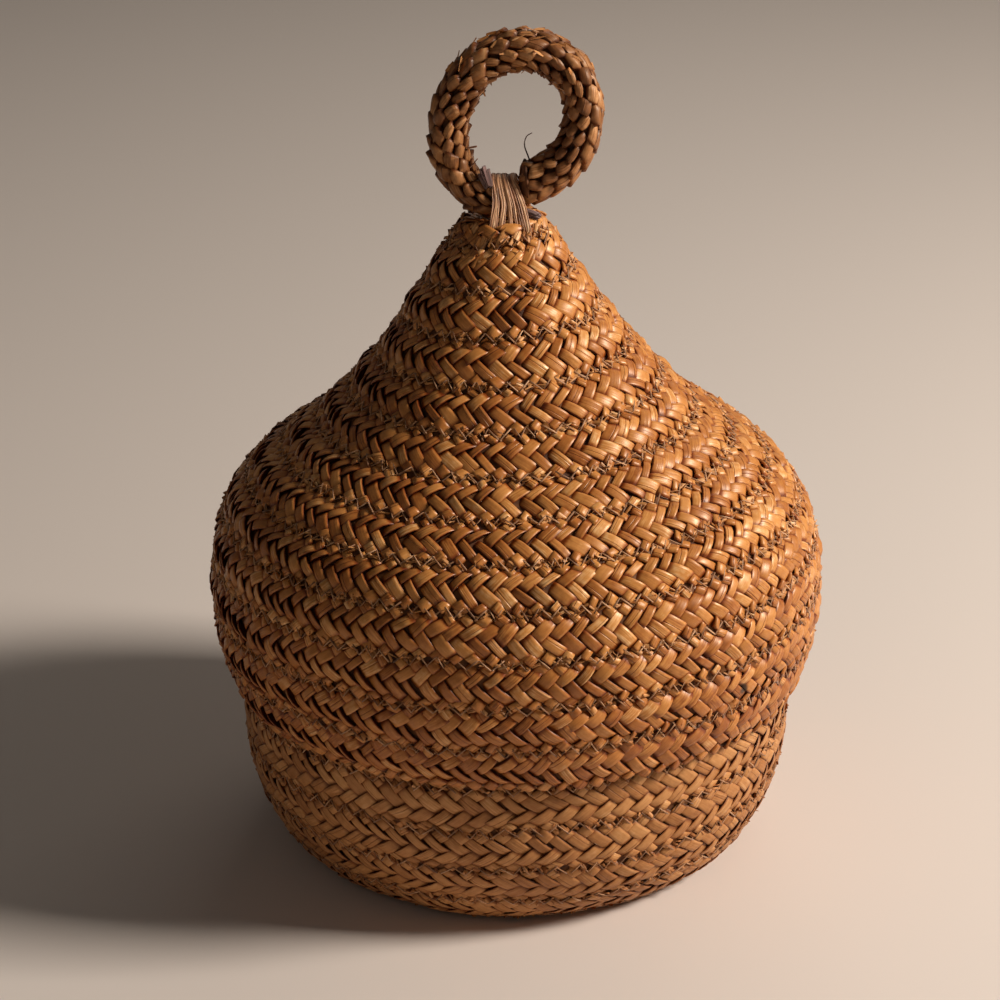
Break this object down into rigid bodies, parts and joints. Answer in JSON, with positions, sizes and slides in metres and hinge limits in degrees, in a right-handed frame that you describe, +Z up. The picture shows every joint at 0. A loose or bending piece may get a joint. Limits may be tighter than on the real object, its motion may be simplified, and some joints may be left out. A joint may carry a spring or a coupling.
{
  "type": "lidded straw basket",
  "caption": "Round lidded box of plaited straw sewn in a spiral: bulging base with a neck, onion-shaped lift-off lid and an upright plaited ring handle lashed on top.",
  "frame": {"origin": "centre of the box's underside, where it stands on a surface", "axes": "+Z up through the lid, -Y toward the side that the ring handle faces, +X to the right seen from there"},
  "size_m": [0.1608, 0.1608, 0.2161],
  "materials": {
    "straw_plait": "satin golden-brown flat straw plait",
    "straw_braid": "satin golden-brown round straw braid",
    "seam_thread": "matte purple-brown sewing thread",
    "raffia": "dull pale raffia strands"
  },
  "bodies": {
    "base": {"base_floor": "straw_plait", "base_wall": "straw_plait", "base_seam_thread": "seam_thread"},
    "lid": {"lid_shell": "straw_plait", "lid_seam_thread": "seam_thread", "lid_crown": "straw_plait", "handle_lashing": "raffia"},
    "ring": {"handle_ring": "straw_braid"}
  },
  "joints": [
    {"name": "lid_lift", "type": "slide", "parent": "base", "child": "lid", "axis": [0, 0, 1], "range_m": [0, 0.09]},
    {"name": "handle_tilt", "type": "hinge", "parent": "lid", "child": "ring", "pos_m": [-0.003, 0, 0.1734], "axis": [1, 0, 0], "range_deg": [-20, 20]}
  ]
}
